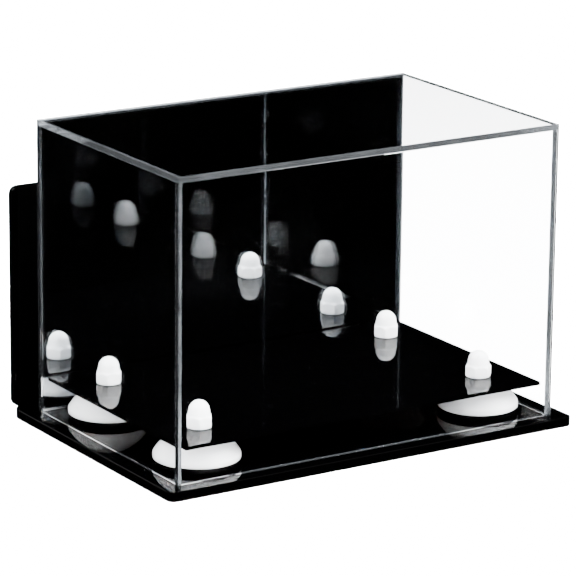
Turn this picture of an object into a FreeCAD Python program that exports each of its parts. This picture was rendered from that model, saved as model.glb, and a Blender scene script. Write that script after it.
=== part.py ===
"""Football display case: a clear lift-off cover with a mirrored back, standing on a black
base that carries a raised platform on four bolted risers and an upright wall plate.

Millimetres, +Z up. X runs across the width, +Y towards the wall. The origin is the centre
of the base's underside.
"""
import FreeCAD, Part
import os
from math import cos, radians, sin, sqrt

from FreeCAD import Vector

INCH = 25.4

# Clear cover, outside sizes
COVER_WIDTH = 13.5 * INCH
COVER_DEPTH = 8.5 * INCH
COVER_HEIGHT = 236.2
COVER_SHEET = 4.5
MIRROR_SHEET = 4.5

# Base slab under the cover
BASE_WIDTH = 370.0
BASE_THICKNESS = 8.0
BASE_FRONT_MARGIN = 12.0
BASE_DEPTH = 250.0
BASE_CORNER_RADIUS = 6.35
BASE_REAR_CORNER_RADIUS = 12.7

# Upright wall plate, standing on the back edge of the base
WALL_PLATE_THICKNESS = 6.5
WALL_PLATE_HEIGHT = 180.0
WALL_PLATE_CORNER_RADIUS = 6.35
WALL_HOLE_DIAMETER = 5.5
WALL_HOLE_SPACING_X = 8.0 * INCH
WALL_HOLE_SPACING_Z = 4.0 * INCH
WALL_HOLE_CENTRE_ABOVE_BASE = 100.0

# Countersunk screws from under the base into the wall plate
PLATE_SCREW_DIAMETER = 3.0
PLATE_SCREW_HEAD_DIAMETER = 5.5
PLATE_SCREW_LENGTH = 20.0
PLATE_SCREW_COUNT = 4
PLATE_SCREW_PITCH = 100.0
PLATE_SCREW_RECESS_LENGTH = 3.2
PLATE_SCREW_RECESS_WIDTH = 0.8
PLATE_SCREW_RECESS_DEPTH = 1.4

# Raised platform
PLATFORM_WIDTH = 326.0
PLATFORM_THICKNESS = 3.0
PLATFORM_END_GAP = 0.8
PLATFORM_TOP_ABOVE_BASE = 28.0

# Risers: a black disc with a white dome on it
RISER_SPACING_X = 258.0
RISER_SPACING_Y = 131.0
RISER_DIAMETER = 64.0
PAD_THICKNESS = 4.5
DOME_RIM = 4.0
DOME_TOP_RADIUS = 15.0
DOME_BULGE = 1.6
DOME_WALL = 2.8
DOME_BOSS_DIAMETER = 20.0

# Riser bolts and the acorn nuts that close them
BOLT_DIAMETER = 10.0
BOLT_HOLE_DIAMETER = 10.6
BOLT_HEAD_DIAMETER = 18.5
BOLT_ABOVE_PLATFORM = 14.0
BOLT_SOCKET_ACROSS_FLATS = 6.0
BOLT_SOCKET_DEPTH = 3.0
NUT_ACROSS_FLATS = 18.5
NUT_HEX_HEIGHT = 8.2
NUT_SHOULDER_RADIUS = 8.7
NUT_SHOULDER_HEIGHT = 10.2
NUT_CROWN_RADIUS = 7.95
NUT_CROWN_HEIGHT = 14.7
NUT_HEIGHT = 21.4
NUT_BORE_DEPTH = 16.0

# Small allowances
ARRIS = 0.4
HEAD_RECESS = 0.2
SEAT_GAP = 0.05
THREAD_GAP = 0.05

# Worked out
BASE_TOP = BASE_THICKNESS
BASE_BACK = BASE_DEPTH / 2
COVER_FRONT = -BASE_DEPTH / 2 + BASE_FRONT_MARGIN
COVER_BACK = COVER_FRONT + COVER_DEPTH
COVER_TOP = BASE_TOP + COVER_HEIGHT
WALL_HEIGHT = COVER_HEIGHT - COVER_SHEET
INSIDE_FRONT = COVER_FRONT + COVER_SHEET
INSIDE_BACK = COVER_BACK - MIRROR_SHEET
INSIDE_CENTRE = (INSIDE_FRONT + INSIDE_BACK) / 2
PLATFORM_DEPTH = INSIDE_BACK - INSIDE_FRONT - 2 * PLATFORM_END_GAP
PLATFORM_TOP = BASE_TOP + PLATFORM_TOP_ABOVE_BASE
PLATFORM_UNDER = PLATFORM_TOP - PLATFORM_THICKNESS
PAD_TOP = BASE_TOP + PAD_THICKNESS
WALL_PLATE_CENTRE = BASE_BACK - WALL_PLATE_THICKNESS / 2
NUT_CROWN_RISE = NUT_HEIGHT - NUT_CROWN_HEIGHT
NUT_CROWN_SPHERE = (NUT_CROWN_RADIUS ** 2 + NUT_CROWN_RISE ** 2) / (2 * NUT_CROWN_RISE)
NUT_CROWN_BULGE = NUT_CROWN_SPHERE - sqrt(NUT_CROWN_SPHERE ** 2 - NUT_CROWN_SPHERE * NUT_CROWN_RISE / 2)

CORNERS = {
    "front_left": (-RISER_SPACING_X / 2, INSIDE_CENTRE - RISER_SPACING_Y / 2),
    "front_right": (RISER_SPACING_X / 2, INSIDE_CENTRE - RISER_SPACING_Y / 2),
    "rear_left": (-RISER_SPACING_X / 2, INSIDE_CENTRE + RISER_SPACING_Y / 2),
    "rear_right": (RISER_SPACING_X / 2, INSIDE_CENTRE + RISER_SPACING_Y / 2),
}
PLATE_SCREWS_X = [(i - (PLATE_SCREW_COUNT - 1) / 2) * PLATE_SCREW_PITCH for i in range(PLATE_SCREW_COUNT)]


def block(x0, y0, z0, x1, y1, z1):
    """A box between two corners."""
    return Part.makeBox(x1 - x0, y1 - y0, z1 - z0, Vector(x0, y0, z0))


def post(radius, z0, z1, x=0.0, y=0.0):
    """A vertical cylinder."""
    return Part.makeCylinder(radius, z1 - z0, Vector(x, y, z0))


def broken_edges(shape, size=ARRIS):
    """Take the sharp arris off every edge of a plain sheet."""
    return shape.makeChamfer(size, shape.Edges)


def rounded_sheet(width, height, thickness, near_radius, far_radius):
    """A flat sheet in the XY plane, centred on the origin, with broken arrises and round
    corners of one radius at -Y and another at +Y."""
    sheet = block(-width / 2, -height / 2, 0, width / 2, height / 2, thickness)
    for side, radius in ((-1, near_radius), (1, far_radius)):
        uprights = [e for e in sheet.Edges if e.BoundBox.ZLength > thickness / 2
                    and abs(e.BoundBox.YMin - side * height / 2) < ARRIS and e.BoundBox.YLength < ARRIS
                    and abs(abs(e.BoundBox.XMin) - width / 2) < ARRIS]
        sheet = sheet.makeFillet(radius, uprights)
    rims = [e for e in sheet.Edges if abs(e.BoundBox.ZLength) < thickness / 2]
    return sheet.makeChamfer(ARRIS, rims)


def bowed(start, end, bulge):
    """An arc from start to end that stands bulge proud of the straight line, on its right-hand side."""
    line = end - start
    side = Vector(line.z, 0, -line.x).normalize()
    return Part.Arc(start, (start + end) * 0.5 + side * bulge, end).toShape()


def turned(points, bulges=None):
    """Revolve a closed outline of (radius, height) points about Z. bulges gives, by the number
    of its starting point, how far a segment stands out from the straight line."""
    edges = []
    for i, point in enumerate(points):
        following = points[(i + 1) % len(points)]
        start, end = Vector(point[0], 0, point[1]), Vector(following[0], 0, following[1])
        if bulges and i in bulges:
            edges.append(bowed(start, end, bulges[i]))
        else:
            edges.append(Part.LineSegment(start, end).toShape())
    face = Part.Face(Part.Wire(edges))
    return face.revolve(Vector(0, 0, 0), Vector(0, 0, 1), 360)


def hexagon(across_flats, z0, z1):
    """An upright hexagonal prism with flats facing +Y and -Y."""
    radius = across_flats / sqrt(3)
    ring = [Vector(radius * cos(radians(60 * k)), radius * sin(radians(60 * k)), z0) for k in range(7)]
    return Part.Face(Part.makePolygon(ring)).extrude(Vector(0, 0, z1 - z0))


def countersink(hole_radius, head_radius, x, y):
    """A through hole in the base with a 90 degree countersink on the underside."""
    cone = Part.makeCone(head_radius, hole_radius, head_radius - hole_radius, Vector(x, y, 0))
    return post(hole_radius, -1, BASE_TOP + 1, x, y).fuse(cone)


def countersunk_screw(radius, head_radius, top):
    """A screw standing on Z with its countersunk head just inside the base's underside."""
    under = head_radius - radius
    outline = [(0, HEAD_RECESS), (head_radius - HEAD_RECESS, HEAD_RECESS), (radius, under),
               (radius, top - ARRIS), (radius - ARRIS, top), (0, top)]
    return turned(outline)


def base_plate():
    plate = rounded_sheet(BASE_WIDTH, BASE_DEPTH, BASE_THICKNESS, BASE_CORNER_RADIUS, BASE_REAR_CORNER_RADIUS)
    for x, y in CORNERS.values():
        plate = plate.cut(countersink(BOLT_HOLE_DIAMETER / 2, BOLT_HEAD_DIAMETER / 2 + SEAT_GAP, x, y))
    hole = PLATE_SCREW_DIAMETER / 2 + THREAD_GAP
    for x in PLATE_SCREWS_X:
        plate = plate.cut(countersink(hole, PLATE_SCREW_HEAD_DIAMETER / 2 + SEAT_GAP, x, WALL_PLATE_CENTRE))
    return plate


def wall_mount_plate():
    radius = WALL_PLATE_CORNER_RADIUS
    plate = rounded_sheet(BASE_WIDTH, WALL_PLATE_HEIGHT, WALL_PLATE_THICKNESS, radius, radius)
    plate.rotate(Vector(0, 0, 0), Vector(1, 0, 0), 90)
    plate.translate(Vector(0, BASE_BACK, BASE_TOP + WALL_PLATE_HEIGHT / 2))
    centre = BASE_TOP + WALL_HOLE_CENTRE_ABOVE_BASE
    for x in (-WALL_HOLE_SPACING_X / 2, WALL_HOLE_SPACING_X / 2):
        for z in (centre - WALL_HOLE_SPACING_Z / 2, centre + WALL_HOLE_SPACING_Z / 2):
            start = Vector(x, BASE_BACK - WALL_PLATE_THICKNESS - 1, z)
            plate = plate.cut(Part.makeCylinder(
                WALL_HOLE_DIAMETER / 2, WALL_PLATE_THICKNESS + 2, start, Vector(0, 1, 0)))
    for x in PLATE_SCREWS_X:
        hole = post(PLATE_SCREW_DIAMETER / 2 + THREAD_GAP, BASE_TOP - 1, PLATE_SCREW_LENGTH + 1,
                    x, WALL_PLATE_CENTRE)
        plate = plate.cut(hole)
    return plate


def wall_plate_screws():
    """Small countersunk screws with a cross recess."""
    screw = countersunk_screw(PLATE_SCREW_DIAMETER / 2, PLATE_SCREW_HEAD_DIAMETER / 2, PLATE_SCREW_LENGTH)
    long, wide = PLATE_SCREW_RECESS_LENGTH / 2, PLATE_SCREW_RECESS_WIDTH / 2
    floor = HEAD_RECESS + PLATE_SCREW_RECESS_DEPTH
    for x, y in ((long, wide), (wide, long)):
        screw = screw.cut(block(-x, -y, 0, x, y, floor))
    return Part.makeCompound([screw.translated(Vector(x, WALL_PLATE_CENTRE, 0)) for x in PLATE_SCREWS_X])


def display_platform():
    half_width, half_depth = PLATFORM_WIDTH / 2, PLATFORM_DEPTH / 2
    plate = broken_edges(block(-half_width, INSIDE_CENTRE - half_depth, PLATFORM_UNDER,
                               half_width, INSIDE_CENTRE + half_depth, PLATFORM_TOP))
    for x, y in CORNERS.values():
        plate = plate.cut(post(BOLT_HOLE_DIAMETER / 2, PLATFORM_UNDER - 1, PLATFORM_TOP + 1, x, y))
    return plate


def riser_pad():
    outer, inner = RISER_DIAMETER / 2, BOLT_HOLE_DIAMETER / 2
    return turned([(inner, BASE_TOP), (outer - ARRIS, BASE_TOP), (outer, BASE_TOP + ARRIS),
                   (outer, PAD_TOP - ARRIS), (outer - ARRIS, PAD_TOP), (inner, PAD_TOP)])


def riser_dome():
    """A moulded dome: a shell with a flat crown, open below, round a bored centre boss."""
    outer, bore = RISER_DIAMETER / 2, BOLT_HOLE_DIAMETER / 2
    rim = PAD_TOP + DOME_RIM
    solid = turned([(bore, PAD_TOP), (outer, PAD_TOP), (outer, rim),
                    (DOME_TOP_RADIUS, PLATFORM_UNDER), (bore, PLATFORM_UNDER)], {2: DOME_BULGE})
    boss = DOME_BOSS_DIAMETER / 2
    roof = PLATFORM_UNDER - DOME_WALL
    inside = outer - DOME_WALL
    hollow = turned([(boss, PAD_TOP - 1), (inside, PAD_TOP - 1), (inside, rim - DOME_WALL / 2),
                     (DOME_TOP_RADIUS - DOME_WALL, roof), (boss, roof)], {2: DOME_BULGE})
    return solid.cut(hollow)


def riser_bolts():
    top = PLATFORM_TOP + BOLT_ABOVE_PLATFORM
    bolt = countersunk_screw(BOLT_DIAMETER / 2, BOLT_HEAD_DIAMETER / 2, top)
    bolt = bolt.cut(hexagon(BOLT_SOCKET_ACROSS_FLATS, -1, HEAD_RECESS + BOLT_SOCKET_DEPTH))
    return Part.makeCompound([bolt.translated(Vector(x, y, 0)) for x, y in CORNERS.values()])


def cap_nut():
    """An acorn nut: a blind-bored blank with a tapering dome, whose sides are cut to a hexagon."""
    seat = PLATFORM_TOP
    foot, reach = NUT_ACROSS_FLATS / 2 - ARRIS, NUT_ACROSS_FLATS / sqrt(3) + ARRIS
    outline = [(0, 0), (foot, 0), (reach, reach - foot), (reach, NUT_HEX_HEIGHT),
               (NUT_SHOULDER_RADIUS, NUT_SHOULDER_HEIGHT), (NUT_CROWN_RADIUS, NUT_CROWN_HEIGHT),
               (0, NUT_HEIGHT)]
    blank = turned([(radius, seat + height) for radius, height in outline], {5: NUT_CROWN_BULGE})
    bore = post(BOLT_DIAMETER / 2 + THREAD_GAP, seat - 1, seat + NUT_BORE_DEPTH)
    return blank.common(hexagon(NUT_ACROSS_FLATS, seat - 1, seat + NUT_HEIGHT + 1)).cut(bore)


def cover_panels():
    """Front and mirror run the full width, the sides stand between them and the top covers all four."""
    half = COVER_WIDTH / 2
    wall_top = BASE_TOP + WALL_HEIGHT
    return {
        "cover_front_panel": block(-half, COVER_FRONT, BASE_TOP, half, INSIDE_FRONT, wall_top),
        "cover_mirror_back": block(-half, INSIDE_BACK, BASE_TOP, half, COVER_BACK, wall_top),
        "cover_left_panel": block(-half, INSIDE_FRONT, BASE_TOP, COVER_SHEET - half, INSIDE_BACK, wall_top),
        "cover_right_panel": block(half - COVER_SHEET, INSIDE_FRONT, BASE_TOP, half, INSIDE_BACK, wall_top),
        "cover_top_panel": block(-half, COVER_FRONT, wall_top, half, COVER_BACK, COVER_TOP),
    }


def all_nodes():
    nodes = {
        "base_plate": base_plate(),
        "wall_mount_plate": wall_mount_plate(),
        "wall_plate_screws": wall_plate_screws(),
        "display_platform": display_platform(),
        "riser_bolts": riser_bolts(),
    }
    repeated = {"riser_pad": riser_pad(), "riser_dome": riser_dome(), "cap_nut": cap_nut()}
    for name, shape in repeated.items():
        for corner, (x, y) in CORNERS.items():
            nodes[f"{name}_{corner}"] = shape.translated(Vector(x, y, 0))
    nodes.update(cover_panels())
    return nodes


os.makedirs("parts", exist_ok=True)
for node, shape in all_nodes().items():
    if not shape.isValid():
        raise ValueError(f"{node} is not a valid shape")
    shape.exportStep(f"parts/{node}.step")
    print(f"{node}: {len(shape.Solids)} solid(s), {shape.Volume / 1000:.1f} cm3")
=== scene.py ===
import math

import bmesh
import bpy
from mathutils import Matrix, Vector


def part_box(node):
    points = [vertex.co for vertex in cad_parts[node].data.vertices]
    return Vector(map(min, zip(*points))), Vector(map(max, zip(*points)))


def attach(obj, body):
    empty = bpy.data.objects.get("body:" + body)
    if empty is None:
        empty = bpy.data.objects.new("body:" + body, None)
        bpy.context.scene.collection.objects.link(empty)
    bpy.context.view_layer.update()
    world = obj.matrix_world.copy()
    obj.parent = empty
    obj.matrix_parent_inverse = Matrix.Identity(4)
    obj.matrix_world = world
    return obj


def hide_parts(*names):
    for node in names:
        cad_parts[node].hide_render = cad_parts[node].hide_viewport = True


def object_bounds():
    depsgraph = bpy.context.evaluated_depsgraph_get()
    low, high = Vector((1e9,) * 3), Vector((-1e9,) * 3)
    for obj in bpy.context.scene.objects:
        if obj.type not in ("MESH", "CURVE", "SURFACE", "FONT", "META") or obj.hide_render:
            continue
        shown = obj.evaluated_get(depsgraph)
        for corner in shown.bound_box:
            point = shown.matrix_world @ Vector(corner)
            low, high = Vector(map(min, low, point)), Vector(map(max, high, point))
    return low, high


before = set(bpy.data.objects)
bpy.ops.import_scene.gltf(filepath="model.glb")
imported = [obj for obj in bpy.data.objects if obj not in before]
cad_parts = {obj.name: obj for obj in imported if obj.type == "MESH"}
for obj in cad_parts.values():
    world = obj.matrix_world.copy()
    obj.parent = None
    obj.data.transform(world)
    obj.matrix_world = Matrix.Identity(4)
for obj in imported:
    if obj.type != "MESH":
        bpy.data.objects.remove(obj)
CAD_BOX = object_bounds()

bl_info = {
    "name": "Football display case",
    "version": (1, 0, 0),
    "blender": (4, 5, 0),
    "location": "3D View > Sidebar > Display case",
    "description": "Clear cover, mirror, black sheets, risers and acorn nuts of a football display case",
    "category": "Object",
}

MM = 0.001
CORNERS = ("front_left", "front_right", "rear_left", "rear_right")

# Moulded shapes of the risers and nuts
BOLT_HOLE_RADIUS = 5.3 * MM
BOLT_RADIUS = 5.05 * MM
DOME_BOSS_RADIUS, DOME_TOP_RADIUS, DOME_RIM, DOME_WALL, DOME_BULGE = (
    size * MM for size in (10.0, 15.0, 4.0, 2.8, 1.6))
NUT_BORE_DEPTH, NUT_HEX_HEIGHT = 16.0 * MM, 8.2 * MM
NUT_SHOULDER, NUT_CROWN = (8.7 * MM, 10.2 * MM), (7.95 * MM, 14.7 * MM)
NUT_CROWN_BULGE = 1.9 * MM

# How crisply the hexagon cuts the turned nut: a higher power gives sharper corners
HEX_SHARPNESS = 36.0

# The black sheets' index is set low, because it keeps their reflections quiet
ACRYLIC_IOR = 1.49
BLACK_SHEET_IOR = 1.14

# The stage: soft boxes as name, place, size and watts
FLOOR_REACH = 12.0
LAMP_TARGET = (0, 0, 0.1)
SOFT_BOXES = (
    ("key", (1.2, -1.5, 1.9), 1.6, 620),
    ("side", (-2.0, -0.6, 1.1), 1.4, 90),
    ("top", (0.0, 0.1, 2.1), 1.6, 260),
    ("line_left", (-0.7, 2.1, 1.4), 0.9, 6),
    ("line_front", (1.3, -0.7, 2.0), 1.2, 8),
)
AIM_FROM_CENTRE = Vector((-4.8, -0.7, -12.1)) * MM


# ---------------------------------------------------------------- places taken from the frame

def corner_centre(part):
    """Centre of a part's four places, and their spacing along X and Y."""
    lows, highs = zip(*(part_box(f"{part}_{corner}") for corner in CORNERS))
    mids = [(low + high) / 2 for low, high in zip(lows, highs)]
    xs, ys = sorted({round(m.x, 5) for m in mids}), sorted({round(m.y, 5) for m in mids})
    return Vector(((xs[0] + xs[-1]) / 2, (ys[0] + ys[-1]) / 2, 0)), xs[-1] - xs[0], ys[-1] - ys[0]


# ---------------------------------------------------------------- settings a user would change

class SheetSettings(bpy.types.PropertyGroup):
    """Clear sheets of the cover and the mirror behind them."""
    arris: bpy.props.FloatProperty(
        name="Arris", description="Width of the polished bevel along each outer edge",
        default=0.28 * MM, min=0.0, unit="LENGTH")
    joint_gap: bpy.props.FloatProperty(
        name="Joint gap", description="Thickness of the cement in a joint between two sheets",
        default=0.03 * MM, min=0.0, unit="LENGTH")
    backing: bpy.props.FloatProperty(
        name="Mirror backing", description="Thickness of the silvering and its protective paint",
        default=0.25 * MM, min=0.0, unit="LENGTH")
    tint: bpy.props.FloatVectorProperty(
        name="Clear tint", description="Colour of the clear acrylic",
        default=(0.985, 0.992, 1.0), subtype="COLOR", min=0.0, max=1.0)
    edge_colour: bpy.props.FloatVectorProperty(
        name="Edge colour", description="Colour that the cut edges scatter",
        default=(0.80, 0.86, 0.92), subtype="COLOR", min=0.0, max=1.0)
    edge_haze: bpy.props.FloatProperty(
        name="Edge haze", description="Share of the light that a cut edge scatters",
        default=0.028, min=0.0, max=1.0, subtype="FACTOR")
    arris_haze: bpy.props.FloatProperty(
        name="Arris haze", description="Share of the light that the bevel along an edge scatters",
        default=0.02, min=0.0, max=1.0, subtype="FACTOR")
    # Painted light: the upright seams scatter more near the bottom of the cover than higher up. This painted
    # brightening stands in for light carried inside the sheets.
    seam_haze_and_painted_light: bpy.props.FloatProperty(
        name="Seam haze", description="Share of the light that the upright seams scatter low on the cover",
        default=0.1, min=0.0, max=1.0, subtype="FACTOR")
    foot_haze: bpy.props.FloatProperty(
        name="Foot haze", description="Share of the light that the edges scatter where they meet the base",
        default=0.006, min=0.0, max=1.0, subtype="FACTOR")


class PlasticSettings(bpy.types.PropertyGroup):
    """White and black mouldings."""
    dome_colour: bpy.props.FloatVectorProperty(
        name="Riser colour", description="Colour of the white risers",
        default=(0.88, 0.885, 0.89), subtype="COLOR", min=0.0, max=1.0)
    nut_colour: bpy.props.FloatVectorProperty(
        name="Nut colour", description="Colour of the acorn nuts and the bolts",
        default=(0.86, 0.865, 0.87), subtype="COLOR", min=0.0, max=1.0)
    black: bpy.props.FloatVectorProperty(
        name="Black", description="Colour of the black sheets and discs",
        default=(0.0001, 0.0001, 0.00012), subtype="COLOR", min=0.0, max=1.0)
    edge_round: bpy.props.FloatProperty(
        name="Edge round", description="Radius on the edges of the risers and discs",
        default=0.5 * MM, min=0.0, unit="LENGTH")
    nut_turn: bpy.props.FloatProperty(
        name="Nut turn", description="How far the acorn nuts stand turned on average",
        default=math.radians(-9), subtype="ANGLE")
    nut_spread: bpy.props.FloatProperty(
        name="Nut spread", description="How much the turns of the acorn nuts differ",
        default=math.radians(11), subtype="ANGLE")
    seed: bpy.props.IntProperty(
        name="Seed", description="Seed of the acorn nuts' turns", default=544, min=0)


class StageSettings(bpy.types.PropertyGroup):
    """Floor, light and camera."""
    floor_colour: bpy.props.FloatVectorProperty(
        name="Floor colour", description="Colour of the plain floor",
        default=(0.9, 0.9, 0.9), subtype="COLOR", min=0.0, max=1.0)
    floor_glow: bpy.props.FloatProperty(
        name="Floor glow", description="Light that the floor gives off, as on a light table",
        default=70.0, min=0.0)
    sky: bpy.props.FloatProperty(
        name="Room light", description="Strength of the light from all round", default=1.3, min=0.0)
    dark: bpy.props.FloatProperty(
        name="Dark side", description="What polished faces see of the room in place of the pale floor",
        default=0.0005, min=0.0)
    azimuth: bpy.props.FloatProperty(
        name="Camera azimuth", description="Camera's direction of view, from straight at the front",
        default=math.radians(32.56), subtype="ANGLE")
    elevation: bpy.props.FloatProperty(
        name="Camera elevation", description="How far the camera looks down",
        default=math.radians(15.68), subtype="ANGLE")
    roll: bpy.props.FloatProperty(
        name="Camera roll", description="Turn of the camera about its line of sight",
        default=math.radians(0.61), subtype="ANGLE")
    distance: bpy.props.FloatProperty(
        name="Camera distance", description="From the camera to the middle of the case",
        default=2.850, min=0.1, unit="LENGTH")
    lens: bpy.props.FloatProperty(
        name="Lens", description="Focal length in millimetres on a 36 mm sensor", default=227.2, min=1.0)


# ---------------------------------------------------------------- material helpers

class Nodes:
    """A material's node tree, with short ways to add nodes and links."""

    def __init__(self, name, world=None):
        self.owner = world or bpy.data.materials.new(name)
        self.owner.use_nodes = True
        self.tree = self.owner.node_tree
        self.tree.nodes.clear()

    def add(self, kind, settings=None, **inputs):
        node = self.tree.nodes.new("ShaderNode" + kind)
        for key, value in (settings or {}).items():
            setattr(node, key, value)
        for key, value in inputs.items():
            socket = node.inputs[key.replace("_", " ")]
            if isinstance(value, bpy.types.NodeSocket):
                self.tree.links.new(value, socket)
            else:
                socket.default_value = value
        return node

    def mix_shader(self, factor, first, second):
        node = self.tree.nodes.new("ShaderNodeMixShader")
        if isinstance(factor, bpy.types.NodeSocket):
            self.tree.links.new(factor, node.inputs[0])
        else:
            node.inputs[0].default_value = factor
        self.tree.links.new(first, node.inputs[1])
        self.tree.links.new(second, node.inputs[2])
        return node.outputs[0]

    def ramp(self, source, low, high, to_low=0.0, to_high=1.0):
        node = self.add("MapRange", Value=source)
        for name, value in (("From Min", low), ("From Max", high), ("To Min", to_low), ("To Max", to_high)):
            node.inputs[name].default_value = value
        return node.outputs["Result"]

    def surface(self, socket):
        kind = "OutputWorld" if isinstance(self.owner, bpy.types.World) else "OutputMaterial"
        output = self.tree.nodes.new("ShaderNode" + kind)
        self.tree.links.new(socket, output.inputs["Surface"])
        return self.owner


def colour(value):
    return (*value, 1.0)


def uneven(nodes, scale, detail=3.0):
    """Noise in object space, about 0.5."""
    place = nodes.add("TexCoord").outputs["Object"]
    return nodes.add("TexNoise", Vector=place, Scale=scale, Detail=detail).outputs["Fac"]


def fine_bump(nodes, height, distance, strength=1.0):
    return nodes.add("Bump", Strength=strength, Distance=distance, Height=height).outputs["Normal"]


def let_lamps_through(nodes, shader):
    """Clear sheets let the lamps' light straight through, so what is inside is lit."""
    lamp_ray = nodes.add("LightPath").outputs["Is Shadow Ray"]
    open_way = nodes.add("BsdfTransparent", Color=(0.96, 0.965, 0.97, 1.0)).outputs[0]
    return nodes.mix_shader(lamp_ray, shader, open_way)


# ---------------------------------------------------------------- the case's finishes

def clear_acrylic(sheets):
    """Polished clear sheet: faint long waves in the face and a trace of fine wear."""
    nodes = Nodes("clear_acrylic")
    waves = fine_bump(nodes, uneven(nodes, 9.0, 1.0), 0.02 * MM, 0.15)
    wear = nodes.ramp(uneven(nodes, 260.0), 0.55, 0.8, 0.0, 0.02)
    glass = nodes.add("BsdfPrincipled", Base_Color=colour(sheets.tint), Roughness=wear, IOR=ACRYLIC_IOR,
                      Transmission_Weight=1.0, Normal=waves)
    return nodes.surface(let_lamps_through(nodes, glass.outputs[0]))


def cut_edge(sheets, name, haze, low_haze_and_painted_light=None):
    """Edge of a clear sheet: mostly see-through, with a haze that scatters light. The last argument, when
    given, is the haze at the bottom of the cover, where it has one of its own: a painted brightening there
    that stands in for light carried inside the sheets."""
    nodes = Nodes(name)
    scrape = uneven(nodes, 900.0, 2.0)
    edge = nodes.add("BsdfPrincipled", Base_Color=colour(sheets.tint), IOR=ACRYLIC_IOR,
                     Transmission_Weight=1.0, Roughness=nodes.ramp(scrape, 0.3, 0.7, 0.01, 0.03),
                     Normal=fine_bump(nodes, scrape, 0.01 * MM, 0.08))
    scatter = nodes.add("BsdfDiffuse", Color=colour(sheets.edge_colour))
    patchy = nodes.ramp(uneven(nodes, 60.0), 0.3, 0.7, 0.75, 1.25)
    share = nodes.add("Math", {"operation": "MULTIPLY"})
    nodes.tree.links.new(patchy, share.inputs[0])
    share.inputs[1].default_value = haze
    if low_haze_and_painted_light is not None:
        # Painted light: the haze goes from the low haze below 10 mm to the full haze above 90 mm. This
        # paints the lowest part of the cover brighter, standing in for light carried inside the sheets.
        place = nodes.add("SeparateXYZ", Vector=nodes.add("TexCoord").outputs["Object"])
        nodes.tree.links.new(nodes.ramp(place.outputs["Z"], 0.01, 0.09, low_haze_and_painted_light, haze), share.inputs[1])
    return nodes.surface(nodes.mix_shader(share.outputs[0], edge.outputs[0], scatter.outputs[0]))


def silvering():
    """Mirror film on the back of the mirror sheet, seen through the sheet."""
    nodes = Nodes("mirror_silvering")
    cloud = nodes.ramp(uneven(nodes, 7.0), 0.3, 0.7, 0.0, 0.012)
    film = nodes.add("BsdfPrincipled", Base_Color=(0.80, 0.82, 0.84, 1.0), Metallic=1.0, Roughness=cloud)
    return nodes.surface(film.outputs[0])


def backing_paint():
    """Grey protective paint on the back of the mirror."""
    nodes = Nodes("mirror_backing_paint")
    spray = uneven(nodes, 700.0)
    tone = nodes.add("MixRGB", Fac=nodes.ramp(spray, 0.3, 0.7), Color1=(0.20, 0.21, 0.22, 1),
                     Color2=(0.27, 0.28, 0.29, 1)).outputs[0]
    paint = nodes.add("BsdfPrincipled", Base_Color=tone, Roughness=0.5,
                      Normal=fine_bump(nodes, spray, 0.03 * MM, 0.5))
    return nodes.surface(paint.outputs[0])


def black_acrylic(plastics):
    """Cast black sheet, polished, with very faint haze and fine wear."""
    nodes = Nodes("black_acrylic")
    haze = nodes.ramp(uneven(nodes, 30.0), 0.35, 0.75, 0.012, 0.05)
    waves = fine_bump(nodes, uneven(nodes, 6.0, 1.0), 0.03 * MM, 0.1)
    sheet = nodes.add("BsdfPrincipled", Base_Color=colour(plastics.black), Roughness=haze,
                      IOR=BLACK_SHEET_IOR, Normal=waves)
    return nodes.surface(sheet.outputs[0])


def black_moulding(plastics):
    """Glossy black moulded disc with a faint flow pattern."""
    nodes = Nodes("black_moulded_disc")
    flow = uneven(nodes, 120.0)
    disc = nodes.add("BsdfPrincipled", Base_Color=colour(plastics.black), IOR=ACRYLIC_IOR,
                     Roughness=nodes.ramp(flow, 0.3, 0.7, 0.12, 0.2),
                     Normal=fine_bump(nodes, flow, 0.02 * MM, 0.3))
    return nodes.surface(disc.outputs[0])


def white_moulding(name, tint, rough_low, rough_high):
    """Moulded white plastic: slightly see-through in depth, with a fine orange-peel gloss."""
    nodes = Nodes(name)
    peel = uneven(nodes, 420.0)
    shade = nodes.ramp(uneven(nodes, 45.0), 0.3, 0.7)
    shaded = [channel * 0.975 for channel in tint]
    tone = nodes.add("MixRGB", Fac=shade, Color1=colour(shaded), Color2=colour(tint)).outputs[0]
    body = nodes.add("BsdfPrincipled", Base_Color=tone, IOR=1.5,
                     Roughness=nodes.ramp(peel, 0.3, 0.7, rough_low, rough_high),
                     Subsurface_Weight=0.25, Subsurface_Radius=(1.0, 0.95, 0.9), Subsurface_Scale=0.0015,
                     Normal=fine_bump(nodes, peel, 0.02 * MM, 0.25))
    return nodes.surface(body.outputs[0])


def plated_steel():
    """Zinc-plated screw steel."""
    nodes = Nodes("plated_steel")
    grain = uneven(nodes, 1500.0)
    steel = nodes.add("BsdfPrincipled", Base_Color=(0.55, 0.56, 0.58, 1), Metallic=1.0,
                      Roughness=nodes.ramp(grain, 0.3, 0.7, 0.25, 0.42),
                      Normal=fine_bump(nodes, grain, 0.01 * MM, 0.4))
    return nodes.surface(steel.outputs[0])


# ---------------------------------------------------------------- mesh helpers

def add_piece(name, mesh, body, replaced):
    """Put a finished mesh in the scene as a piece that stands for CAD nodes of one body."""
    piece = bpy.data.objects.new(name, mesh)
    bpy.context.scene.collection.objects.link(piece)
    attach(piece, body)
    if replaced:
        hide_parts(*replaced)
    return piece


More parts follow.
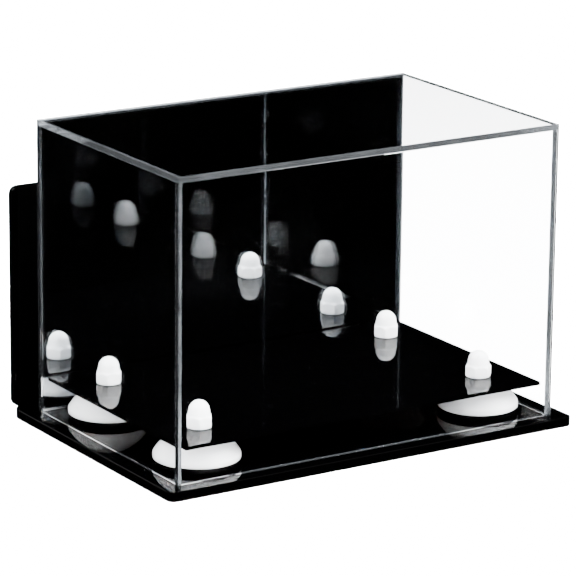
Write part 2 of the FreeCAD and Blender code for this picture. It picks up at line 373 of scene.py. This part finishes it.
def sheet_mesh(name, low, high, arris, materials, face_slot):
    """A flat sheet between two corners. face_slot gives the material number of each of its six
    faces from the face's outward direction. Every edge gets a small bevel in the last material."""
    bm = bmesh.new()
    bmesh.ops.create_cube(bm, size=1.0)
    size, mid = high - low, (low + high) / 2
    for vert in bm.verts:
        vert.co = Vector((mid[i] + vert.co[i] * size[i] for i in range(3)))
    bm.normal_update()
    for face in bm.faces:
        face.material_index = face_slot(face.normal)
    bmesh.ops.bevel(bm, geom=bm.edges[:], offset=arris, segments=2, profile=0.5, affect="EDGES",
                    material=len(materials) - 1)
    bmesh.ops.recalc_face_normals(bm, faces=bm.faces)
    mesh = bpy.data.meshes.new(name)
    bm.to_mesh(mesh)
    bm.free()
    for material in materials:
        mesh.materials.append(material)
    return mesh


def ring_mesh(name, rings, segments, radius_at=None):
    """Skin a list of (radius, height) rings into one closed mesh about Z. A ring of no radius
    is a pole. radius_at(ring_index, angle, radius) may change the radius round a ring."""
    bm = bmesh.new()
    loops = []
    for index, (radius, height) in enumerate(rings):
        if radius == 0:
            loops.append([bm.verts.new((0, 0, height))])
            continue
        loop = []
        for step in range(segments):
            angle = 2 * math.pi * step / segments
            reach = radius_at(index, angle, radius) if radius_at else radius
            loop.append(bm.verts.new((reach * math.cos(angle), reach * math.sin(angle), height)))
        loops.append(loop)
    pairs = list(zip(loops, loops[1:]))
    if len(loops[0]) > 1 and len(loops[-1]) > 1:
        pairs.append((loops[-1], loops[0]))
    for one, two in pairs:
        for step in range(segments):
            nxt = (step + 1) % segments
            corners = [one[step % len(one)], one[nxt % len(one)], two[nxt % len(two)], two[step % len(two)]]
            unique = list(dict.fromkeys(corners))
            if len(unique) > 2:
                bm.faces.new(unique)
    bmesh.ops.recalc_face_normals(bm, faces=bm.faces)
    for face in bm.faces:
        face.smooth = True
    mesh = bpy.data.meshes.new(name)
    bm.to_mesh(mesh)
    bm.free()
    return mesh


def bow(start, end, bulge, steps=16):
    """Points of an arc after start up to end, that stands bulge proud on its right-hand side."""
    start, end = Vector(start), Vector(end)
    half = (end - start).length / 2
    radius = (half * half + bulge * bulge) / (2 * bulge)
    along = (end - start).normalized()
    side = Vector((along.y, -along.x))
    points = []
    for step in range(1, steps + 1):
        way = -half + 2 * half * step / steps
        proud = math.sqrt(radius ** 2 - way ** 2) - radius + bulge
        points.append((start + end) / 2 + along * way + side * proud)
    return points


def softened(outline, radius, steps=3):
    """Round the corners of an outline of (radius, height) points. Points on the axis stay."""
    points = [Vector(point) for point in outline]
    result = []
    for before, corner, after in zip(points[-1:] + points[:-1], points, points[1:] + points[:1]):
        back, on = before - corner, after - corner
        if corner.x == 0 or back.angle(on) > math.radians(170):
            result.append(tuple(corner))
            continue
        start = corner + back.normalized() * min(radius, back.length * 0.45)
        end = corner + on.normalized() * min(radius, on.length * 0.45)
        for step in range(steps + 1):
            way = step / steps
            result.append(tuple(start * (1 - way) ** 2 + corner * 2 * way * (1 - way) + end * way ** 2))
    return result


# ---------------------------------------------------------------- geometry nodes

def link(tree, output, node, name):
    """Feed an output into a node's input of that name."""
    tree.links.new(output, node.inputs[name])


def four_places_tree():
    """Stand a copy of one part on each of the four riser places, each turned a little."""
    tree = bpy.data.node_groups.new("four_places", "GeometryNodeTree")
    sockets = {}
    tree.interface.new_socket("Geometry", in_out="INPUT", socket_type="NodeSocketGeometry")
    for name, kind in (("Part", "Object"), ("Finish", "Material"), ("Spacing X", "Float"),
                       ("Spacing Y", "Float"), ("Centre", "Vector"), ("Turn", "Float"),
                       ("Turn Spread", "Float"), ("Seed", "Int")):
        sockets[name] = tree.interface.new_socket(name, in_out="INPUT", socket_type="NodeSocket" + kind)
    tree.interface.new_socket("Geometry", in_out="OUTPUT", socket_type="NodeSocketGeometry")
    new = tree.nodes.new
    given = new("NodeGroupInput").outputs
    places = new("GeometryNodeMeshGrid")
    places.inputs["Vertices X"].default_value = 2
    places.inputs["Vertices Y"].default_value = 2
    link(tree, given["Spacing X"], places, "Size X")
    link(tree, given["Spacing Y"], places, "Size Y")
    moved = new("GeometryNodeTransform")
    link(tree, places.outputs["Mesh"], moved, "Geometry")
    link(tree, given["Centre"], moved, "Translation")
    part = new("GeometryNodeObjectInfo")
    link(tree, given["Part"], part, "Object")
    least, most, chance = new("ShaderNodeMath"), new("ShaderNodeMath"), new("FunctionNodeRandomValue")
    least.operation = "SUBTRACT"
    for node in (least, most):
        tree.links.new(given["Turn"], node.inputs[0])
        tree.links.new(given["Turn Spread"], node.inputs[1])
    chance.data_type = "FLOAT"
    tree.links.new(least.outputs[0], chance.inputs[2])
    tree.links.new(most.outputs[0], chance.inputs[3])
    link(tree, given["Seed"], chance, "Seed")
    turn = new("ShaderNodeCombineXYZ")
    tree.links.new(chance.outputs[1], turn.inputs["Z"])
    copies = new("GeometryNodeInstanceOnPoints")
    link(tree, moved.outputs["Geometry"], copies, "Points")
    link(tree, part.outputs["Geometry"], copies, "Instance")
    link(tree, turn.outputs["Vector"], copies, "Rotation")
    real = new("GeometryNodeRealizeInstances")
    link(tree, copies.outputs["Instances"], real, "Geometry")
    finish = new("GeometryNodeSetMaterial")
    link(tree, real.outputs["Geometry"], finish, "Geometry")
    link(tree, given["Finish"], finish, "Material")
    result = new("NodeGroupOutput")
    link(tree, finish.outputs["Geometry"], result, "Geometry")
    return tree, sockets


def stand_on_four_places(name, mesh, finish, part, body, turn=0.0, spread=0.0, seed=0):
    """Repeat a mesh on the four riser places and put the plain result in the scene."""
    pattern = bpy.data.objects.new(name + "_pattern", mesh)
    carrier = bpy.data.objects.new(name + "_carrier", bpy.data.meshes.new(name + "_carrier"))
    for obj in (pattern, carrier):
        bpy.context.scene.collection.objects.link(obj)
    centre, across, along = corner_centre(part)
    tree, sockets = four_places_tree()
    values = {"Part": pattern, "Finish": finish, "Spacing X": across, "Spacing Y": along,
              "Centre": centre, "Turn": turn, "Turn Spread": spread, "Seed": seed}
    modifier = carrier.modifiers.new("Four places", "NODES")
    modifier.node_group = tree
    for key, value in values.items():
        modifier[sockets[key].identifier] = value
    graph = bpy.context.evaluated_depsgraph_get()
    result = bpy.data.meshes.new_from_object(carrier.evaluated_get(graph))
    result.name = name
    carrier.modifiers.clear()
    bpy.data.objects.remove(carrier)
    bpy.data.objects.remove(pattern)
    return add_piece(name, result, body, [f"{part}_{corner}" for corner in CORNERS])


# ---------------------------------------------------------------- operators

class DISPLAYCASE_OT_black_sheets(bpy.types.Operator):
    """Finish the black base, the wall plate and the raised platform"""
    bl_idname = "displaycase.black_sheets"
    bl_label = "Black sheets"

    def execute(self, context):
        finish = black_acrylic(context.scene.case_plastics)
        for name in ("base_plate", "wall_mount_plate", "display_platform"):
            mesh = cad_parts[name].data
            mesh.materials.clear()
            mesh.materials.append(finish)
        return {"FINISHED"}


class DISPLAYCASE_OT_risers(bpy.types.Operator):
    """Make the four white riser domes and the black discs under them"""
    bl_idname = "displaycase.risers"
    bl_label = "Risers"

    segments = 128

    def execute(self, context):
        plastics = context.scene.case_plastics
        self.domes(plastics)
        self.discs(plastics)
        return {"FINISHED"}

    def domes(self, plastics):
        low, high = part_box("riser_dome_front_left")
        outer, base, top = (high.x - low.x) / 2, low.z, high.z
        rim, roof = base + DOME_RIM, top - DOME_WALL
        inner, inner_rim = outer - DOME_WALL, base + DOME_RIM - DOME_WALL / 2
        inner_crown = (DOME_TOP_RADIUS - DOME_WALL, roof)
        outline = [(BOLT_HOLE_RADIUS, base), (DOME_BOSS_RADIUS, base), (DOME_BOSS_RADIUS, roof), inner_crown]
        outline += reversed(bow((inner, inner_rim), inner_crown, DOME_BULGE)[:-1])
        outline += [(inner, inner_rim), (inner, base), (outer, base), (outer, rim)]
        outline += bow((outer, rim), (DOME_TOP_RADIUS, top), DOME_BULGE)
        outline += [(BOLT_HOLE_RADIUS, top)]
        mesh = ring_mesh("riser_domes", softened(outline, plastics.edge_round * 2), self.segments)
        finish = white_moulding("white_riser_plastic", plastics.dome_colour, 0.16, 0.24)
        stand_on_four_places("riser_domes", mesh, finish, "riser_dome", "base")

    def discs(self, plastics):
        low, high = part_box("riser_pad_front_left")
        outer = (high.x - low.x) / 2
        outline = [(BOLT_HOLE_RADIUS, low.z), (outer, low.z), (outer, high.z), (BOLT_HOLE_RADIUS, high.z)]
        mesh = ring_mesh("riser_discs", softened(outline, plastics.edge_round), self.segments)
        finish = black_moulding(plastics)
        stand_on_four_places("riser_discs", mesh, finish, "riser_pad", "base")


class DISPLAYCASE_OT_acorn_nuts(bpy.types.Operator):
    """Make the four moulded acorn nuts"""
    bl_idname = "displaycase.acorn_nuts"
    bl_label = "Acorn nuts"

    segments = 96

    def execute(self, context):
        plastics = context.scene.case_plastics
        low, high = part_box("cap_nut_front_left")
        flats, seat = (high.y - low.y) / 2, low.z
        corner, top = flats * 2 / math.sqrt(3), high.z - low.z
        chamfer = corner - flats
        inside = [(0, NUT_BORE_DEPTH), (BOLT_RADIUS, NUT_BORE_DEPTH), (BOLT_RADIUS, 0)]
        outside = [(flats, 0), (corner, chamfer)]
        outside += [(corner, chamfer + (NUT_HEX_HEIGHT - chamfer) * step / 8) for step in range(1, 9)]
        outside += [tuple(Vector(NUT_SHOULDER).lerp(Vector(NUT_CROWN), step / 4)) for step in range(5)]
        outside += bow(NUT_CROWN, (0, top), NUT_CROWN_BULGE)[:-1]
        outline = softened(inside + outside + [(0, top)], 2 * plastics.edge_round)
        outline = [(radius, seat + height) for radius, height in outline]

        def hexed(index, angle, radius):
            """The turned outline cut to a hexagon with slightly soft corners."""
            if radius < BOLT_RADIUS * 1.1:
                return radius
            flat = flats / math.cos(angle % (math.pi / 3) - math.pi / 6)
            return (flat ** -HEX_SHARPNESS + radius ** -HEX_SHARPNESS) ** (-1 / HEX_SHARPNESS)

        mesh = ring_mesh("acorn_nuts", outline, self.segments, hexed)
        finish = white_moulding("white_nylon", plastics.nut_colour, 0.26, 0.36)
        stand_on_four_places("acorn_nuts", mesh, finish, "cap_nut", "base",
                             plastics.nut_turn, plastics.nut_spread, plastics.seed)
        return {"FINISHED"}


class DISPLAYCASE_OT_fasteners(bpy.types.Operator):
    """Finish the riser bolts and the small screws under the base"""
    bl_idname = "displaycase.fasteners"
    bl_label = "Fasteners"

    def execute(self, context):
        plastics = context.scene.case_plastics
        finishes = {
            "riser_bolts": white_moulding("white_nylon_bolts", plastics.nut_colour, 0.3, 0.4),
            "wall_plate_screws": plated_steel(),
        }
        for name, finish in finishes.items():
            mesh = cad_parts[name].data
            mesh.materials.clear()
            mesh.materials.append(finish)
        return {"FINISHED"}


# Numbers of a sheet's materials: broad face, cut edges, edges at a seam or the base, and bevel
FACE, EDGE, CLEAR_EDGE, SEAM, FOOT, ARRIS = range(6)


def sheet_finishes(sheets, bright_arris=False):
    """Materials of a clear sheet, in the order of the numbers above."""
    edge = cut_edge(sheets, "clear_acrylic_edge", sheets.edge_haze)
    return [
        clear_acrylic(sheets),
        edge,
        cut_edge(sheets, "clear_acrylic_polished_edge", sheets.edge_haze / 5),
        # The seams are painted brighter low on the cover, standing in for light carried inside the sheets.
        cut_edge(sheets, "clear_acrylic_seam_painted_light", sheets.edge_haze, sheets.seam_haze_and_painted_light),
        cut_edge(sheets, "clear_acrylic_foot", sheets.foot_haze),
        cut_edge(sheets, "clear_acrylic_arris", sheets.arris_haze) if bright_arris else edge,
    ]


class DISPLAYCASE_OT_cover(bpy.types.Operator):
    """Make the cover's clear front, sides and top"""
    bl_idname = "displaycase.cover"
    bl_label = "Clear cover"

    def execute(self, context):
        sheets = context.scene.case_sheets
        plain, bright = sheet_finishes(sheets), sheet_finishes(sheets, bright_arris=True)
        self.panel(sheets, "cover_front_panel", 1, bright)
        self.panel(sheets, "cover_left_panel", 0, plain)
        self.panel(sheets, "cover_right_panel", 0, plain)
        self.panel(sheets, "cover_top_panel", 2, plain)
        return {"FINISHED"}

    def panel(self, sheets, name, thin, finishes):
        """One clear sheet, which is thin along the axis of that number."""
        low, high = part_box(name)
        gap = Vector([0 if axis == thin else sheets.joint_gap / 2 for axis in range(3)])

        def slot_for(normal):
            if abs(normal[thin]) > 0.5:
                return FACE
            if thin == 2 or normal.z > 0.5:
                return EDGE
            if normal.z < -0.5:
                return FOOT
            if normal.y < -0.5:
                return SEAM
            # Painted light: the right sheet's rear edge gets the full edge haze and the other upright edges
            # a fifth of it. This paints that one edge brighter than the matching edge of the left sheet.
            return EDGE if normal.y > 0.5 and low.x > 0 else CLEAR_EDGE

        mesh = sheet_mesh(name + "_sheet", low + gap, high - gap, sheets.arris, finishes, slot_for)
        add_piece(name + "_sheet", mesh, "cover", [name])


class DISPLAYCASE_OT_mirror(bpy.types.Operator):
    """Make the mirror: a clear sheet with silvering and paint on its back"""
    bl_idname = "displaycase.mirror"
    bl_label = "Mirror"

    def execute(self, context):
        sheets = context.scene.case_sheets
        low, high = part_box("cover_mirror_back")
        split = high.y - sheets.backing
        finishes = sheet_finishes(sheets)
        # The mirror has no seam of its own, so its silvered back takes that number
        finishes[SEAM], finishes[ARRIS] = silvering(), finishes[CLEAR_EDGE]

        def slot_for(normal):
            if abs(normal.y) > 0.5:
                return SEAM if normal.y > 0 else FACE
            return EDGE if normal.z > 0.5 else CLEAR_EDGE

        pane = sheet_mesh("mirror_sheet", low, Vector((high.x, split, high.z)), sheets.arris / 2,
                          finishes, slot_for)
        add_piece("mirror_sheet", pane, "cover", ["cover_mirror_back"])
        inset = Vector((sheets.arris, 0, sheets.arris))
        back = sheet_mesh("mirror_backing", Vector((low.x, split + sheets.joint_gap, low.z)) + inset,
                          high - inset, sheets.backing / 8, [backing_paint()], lambda normal: 0)
        add_piece("mirror_backing", back, "cover", [])
        return {"FINISHED"}


class DISPLAYCASE_OT_stage(bpy.types.Operator):
    """Make the plain floor, the soft light and the camera"""
    bl_idname = "displaycase.stage"
    bl_label = "Stage"

    def execute(self, context):
        stage = context.scene.case_stage
        self.floor(stage)
        self.room(context.scene, stage)
        self.lamps(context.scene)
        self.camera(context.scene, stage)
        return {"FINISHED"}

    def floor(self, stage):
        mesh = bpy.data.meshes.new("floor")
        corners = [(x * FLOOR_REACH, y * FLOOR_REACH, 0) for x, y in ((-1, -1), (1, -1), (1, 1), (-1, 1))]
        mesh.from_pydata(corners, [], [(0, 1, 2, 3)])
        nodes = Nodes("pale_floor")
        pale = nodes.add("BsdfDiffuse", Color=colour(stage.floor_colour)).outputs[0]
        glow = nodes.add("Emission", Color=colour(stage.floor_colour), Strength=stage.floor_glow).outputs[0]
        lit = nodes.tree.nodes.new("ShaderNodeAddShader")
        nodes.tree.links.new(pale, lit.inputs[0])
        nodes.tree.links.new(glow, lit.inputs[1])
        dark = nodes.add("Emission", Color=(1, 1, 1, 1), Strength=stage.dark).outputs[0]
        mesh.materials.append(nodes.surface(self.dark_to_gloss(nodes, lit.outputs[0], dark)))
        floor = bpy.data.objects.new("floor", mesh)
        floor.visible_diffuse = False
        bpy.context.scene.collection.objects.link(floor)

    def dark_to_gloss(self, nodes, pale, dark):
        """Polished faces see a dark studio. Everything else, and the light on matt faces, is pale."""
        path = nodes.add("LightPath").outputs
        in_gloss = nodes.add("Math", {"operation": "GREATER_THAN"})
        nodes.tree.links.new(path["Glossy Depth"], in_gloss.inputs[0])
        on_matt = nodes.add("Math", {"operation": "LESS_THAN"})
        nodes.tree.links.new(path["Diffuse Depth"], on_matt.inputs[0])
        for test in (in_gloss, on_matt):
            test.inputs[1].default_value = 0.5
        both = nodes.add("Math", {"operation": "MULTIPLY"})
        nodes.tree.links.new(in_gloss.outputs[0], both.inputs[0])
        nodes.tree.links.new(on_matt.outputs[0], both.inputs[1])
        return nodes.mix_shader(both.outputs[0], pale, dark)

    def room(self, scene, stage):
        world = bpy.data.worlds.new("room")
        scene.world = world
        nodes = Nodes("room", world)
        pale = nodes.add("Background", Color=(1, 1, 1, 1), Strength=stage.sky).outputs[0]
        dark = nodes.add("Background", Color=(1, 1, 1, 1), Strength=stage.dark).outputs[0]
        nodes.surface(self.dark_to_gloss(nodes, pale, dark))

    def lamps(self, scene):
        """Three strong soft boxes, and two weak ones that draw fine light lines on polished edges."""
        for name, place, size, power in SOFT_BOXES:
            lamp = bpy.data.lights.new(name, "AREA")
            lamp.shape, lamp.size, lamp.energy = "SQUARE", size, power
            soft_box = bpy.data.objects.new(name, lamp)
            soft_box.location = place
            towards = Vector(LAMP_TARGET) - Vector(place)
            soft_box.rotation_euler = towards.to_track_quat("-Z", "Y").to_euler()
            soft_box.visible_glossy = name.startswith("line")
            soft_box.visible_transmission = False
            scene.collection.objects.link(soft_box)

    def camera(self, scene, stage):
        """Look at a point just under the case's middle, along the stated direction."""
        low, high = (Vector(corner) for corner in CAD_BOX)
        aim = (low + high) / 2 + AIM_FROM_CENTRE
        turn = (Matrix.Rotation(-stage.azimuth, 4, "Z")
                @ Matrix.Rotation(math.pi / 2 - stage.elevation, 4, "X")
                @ Matrix.Rotation(stage.roll, 4, "Z"))
        camera = bpy.data.cameras.new("camera")
        camera.lens, camera.sensor_width = stage.lens, 36.0
        eye = bpy.data.objects.new("camera", camera)
        eye.matrix_world = Matrix.Translation(aim) @ turn @ Matrix.Translation((0, 0, stage.distance))
        scene.collection.objects.link(eye)
        scene.camera = eye


class DISPLAYCASE_PT_panel(bpy.types.Panel):
    """The case's pieces and settings in the sidebar"""
    bl_idname = "DISPLAYCASE_PT_panel"
    bl_label = "Football display case"
    bl_space_type = "VIEW_3D"
    bl_region_type = "UI"
    bl_category = "Display case"

    def draw(self, context):
        for step in STEPS:
            self.layout.operator(step.bl_idname)
        for group in SETTINGS:
            box = self.layout.box()
            box.label(text=group.title())
            settings = getattr(context.scene, group)
            for name in settings.__annotations__:
                box.prop(settings, name)


STEPS = (DISPLAYCASE_OT_stage, DISPLAYCASE_OT_black_sheets, DISPLAYCASE_OT_risers, DISPLAYCASE_OT_acorn_nuts,
         DISPLAYCASE_OT_fasteners, DISPLAYCASE_OT_cover, DISPLAYCASE_OT_mirror)
SETTINGS = {"case_sheets": SheetSettings, "case_plastics": PlasticSettings, "case_stage": StageSettings}
CLASSES = (*SETTINGS.values(), *STEPS, DISPLAYCASE_PT_panel)


def register():
    for cls in CLASSES:
        bpy.utils.register_class(cls)
    for name, cls in SETTINGS.items():
        setattr(bpy.types.Scene, name, bpy.props.PointerProperty(type=cls))


def unregister():
    for name in SETTINGS:
        delattr(bpy.types.Scene, name)
    for cls in reversed(CLASSES):
        bpy.utils.unregister_class(cls)


def main():
    register()
    for step in STEPS:
        group, name = step.bl_idname.split(".")
        getattr(getattr(bpy.ops, group), name)()


if __name__ == "__main__":
    main()
